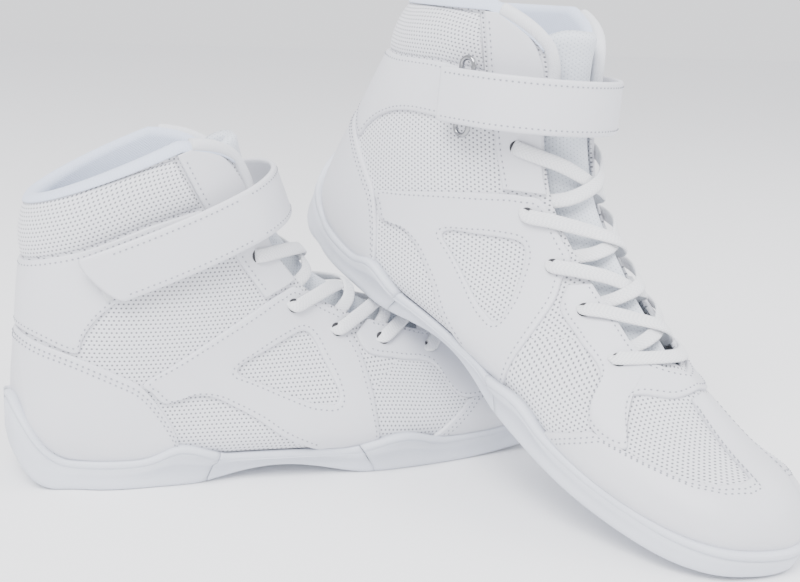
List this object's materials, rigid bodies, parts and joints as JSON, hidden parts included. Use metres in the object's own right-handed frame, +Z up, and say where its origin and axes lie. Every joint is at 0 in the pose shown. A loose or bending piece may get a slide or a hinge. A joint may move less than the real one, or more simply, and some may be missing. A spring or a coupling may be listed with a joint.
{
  "type": "cheer shoes",
  "caption": "Pair of white high-top cheer shoes with laces and an ankle strap, one standing and one leaning on it, toe down.",
  "frame": {"origin": "middle of the right heel tread, on the floor", "axes": "+X along the standing right shoe from heel to toe, +Y to its inner side, +Z up"},
  "size_m": [0.2659, 0.2304, 0.1921],
  "materials": {
    "overlay": "smooth white synthetic leather",
    "mesh": "white spacer mesh",
    "tongue_mesh": "white padded mesh",
    "lining": "smooth pale lining",
    "foam": "open-cell foam",
    "board": "stiff fibre board",
    "binding": "rolled binding",
    "lace": "braided white lace",
    "lace_tip": "clear plastic tip",
    "hook_and_loop": "white hook-and-loop tape",
    "ring_metal": "bright plated",
    "rubber_sole": "satin white rubber",
    "shank_plastic": "white moulded"
  },
  "bodies": {
    "right_shoe": {"right_heel_outsole": "rubber_sole", "right_shank": "shank_plastic", "right_forefoot_outsole": "rubber_sole", "right_insole_board": "board", "right_sockliner": "lining", "right_collar_lining": "lining", "right_collar_foam": "foam", "right_heel_counter": "board", "right_toe_puff": "board", "right_quarter_mesh": "mesh", "right_vamp_mesh": "mesh", "right_collar_mesh": "mesh", "right_ankle_overlay": "overlay", "right_heel_overlay": "overlay", "right_lateral_quarter": "overlay", "right_medial_quarter": "overlay", "right_eyelet_facing": "overlay", "right_vamp_overlay": "overlay", "right_toe_cap": "overlay", "right_collar_piping": "binding", "right_lace": "lace", "right_lace_tips": "lace_tip", "right_strap": "overlay", "right_loop_patch": "hook_and_loop", "right_ring_tab": "overlay"},
    "right_tongue": {"right_tongue": "tongue_mesh", "right_tongue_lining": "lining"},
    "right_strap_tail": {"right_strap_tail": "overlay", "right_hook_patch": "hook_and_loop"},
    "right_ring": {"right_strap_ring": "ring_metal"},
    "left_shoe": {"left_heel_outsole": "rubber_sole", "left_shank": "shank_plastic", "left_forefoot_outsole": "rubber_sole", "left_insole_board": "board", "left_sockliner": "lining", "left_collar_lining": "lining", "left_collar_foam": "foam", "left_heel_counter": "board", "left_toe_puff": "board", "left_quarter_mesh": "mesh", "left_vamp_mesh": "mesh", "left_collar_mesh": "mesh", "left_ankle_overlay": "overlay", "left_heel_overlay": "overlay", "left_lateral_quarter": "overlay", "left_medial_quarter": "overlay", "left_eyelet_facing": "overlay", "left_vamp_overlay": "overlay", "left_toe_cap": "overlay", "left_collar_piping": "binding", "left_lace": "lace", "left_lace_tips": "lace_tip", "left_strap": "overlay", "left_loop_patch": "hook_and_loop", "left_ring_tab": "overlay"},
    "left_tongue": {"left_tongue": "tongue_mesh", "left_tongue_lining": "lining"},
    "left_strap_tail": {"left_strap_tail": "overlay", "left_hook_patch": "hook_and_loop"},
    "left_ring": {"left_strap_ring": "ring_metal"}
  },
  "joints": [
    {"name": "right_tongue_fold", "type": "hinge", "parent": "right_shoe", "child": "right_tongue", "pos_m": [0.143, 0.004, 0.044], "axis": [0, -1, 0], "range_deg": [0, 8], "stiffness_Nm_per_rad": 1},
    {"name": "right_strap_peel", "type": "hinge", "parent": "right_shoe", "child": "right_strap_tail", "pos_m": [0.04396, -0.0331, 0.10674], "axis": [-0.3673, 0, 0.9301], "range_deg": [0, 75]},
    {"name": "right_ring_rock", "type": "hinge", "parent": "right_shoe", "child": "right_ring", "pos_m": [0.03079, 0.0352, 0.10153], "axis": [-0.3673, 0, 0.9301], "range_deg": [-5, 5]},
    {"name": "left_tongue_fold", "type": "hinge", "parent": "left_shoe", "child": "left_tongue", "pos_m": [0.18117, -0.11893, 0.05647], "axis": [-0.9008, -0.4335, 0.0271], "range_deg": [0, 8], "stiffness_Nm_per_rad": 1},
    {"name": "left_strap_peel", "type": "hinge", "parent": "left_shoe", "child": "left_strap_tail", "pos_m": [0.18896, -0.04349, 0.15326], "axis": [-0.0445, 0.0301, -0.9986], "range_deg": [0, 75]},
    {"name": "left_ring_rock", "type": "hinge", "parent": "left_shoe", "child": "left_ring", "pos_m": [0.12132, -0.06034, 0.15576], "axis": [-0.0445, 0.0301, -0.9986], "range_deg": [-5, 5]},
    {"name": "left_shoe_lift", "type": "slide", "parent": "right_shoe", "child": "left_shoe", "axis": [0, 0, 1], "range_m": [0, 0.25]}
  ]
}
